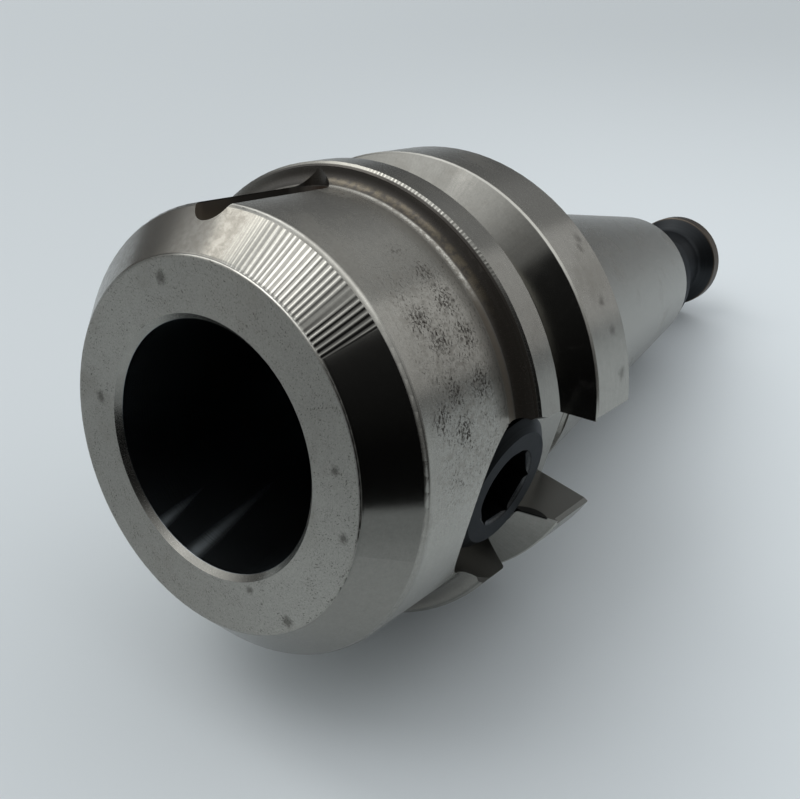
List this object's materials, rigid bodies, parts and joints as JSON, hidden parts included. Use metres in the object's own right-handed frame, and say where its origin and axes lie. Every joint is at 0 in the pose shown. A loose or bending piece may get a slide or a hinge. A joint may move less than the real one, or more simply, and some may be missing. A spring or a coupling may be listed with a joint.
{
  "type": "end mill holder",
  "caption": "Side-lock end mill holder: steep taper shank, grooved flange, short nose bored for a round shank, side clamp screw and retention knob.",
  "frame": {"origin": "centre of the nose face, on the holder's axis", "axes": "+Z along the axis from the nose towards the taper and the retention knob, +X towards the clamp screw"},
  "size_m": [0.0618, 0.063, 0.1422],
  "materials": {
    "tool_steel": "ground and turned tool steel, satin, with pits and stains",
    "black_screw": "black oxide, worn at the edges",
    "black_knob": "black oxide, worn brown at the rim"
  },
  "bodies": {
    "holder": {"holder_body": "tool_steel", "retention_knob": "black_knob"},
    "screw": {"clamp_screw": "black_screw"}
  },
  "joints": [
    {"name": "screw_travel", "type": "slide", "parent": "holder", "child": "screw", "axis": [1, 0, 0], "range_m": [-0.0023, 0.0035]}
  ]
}
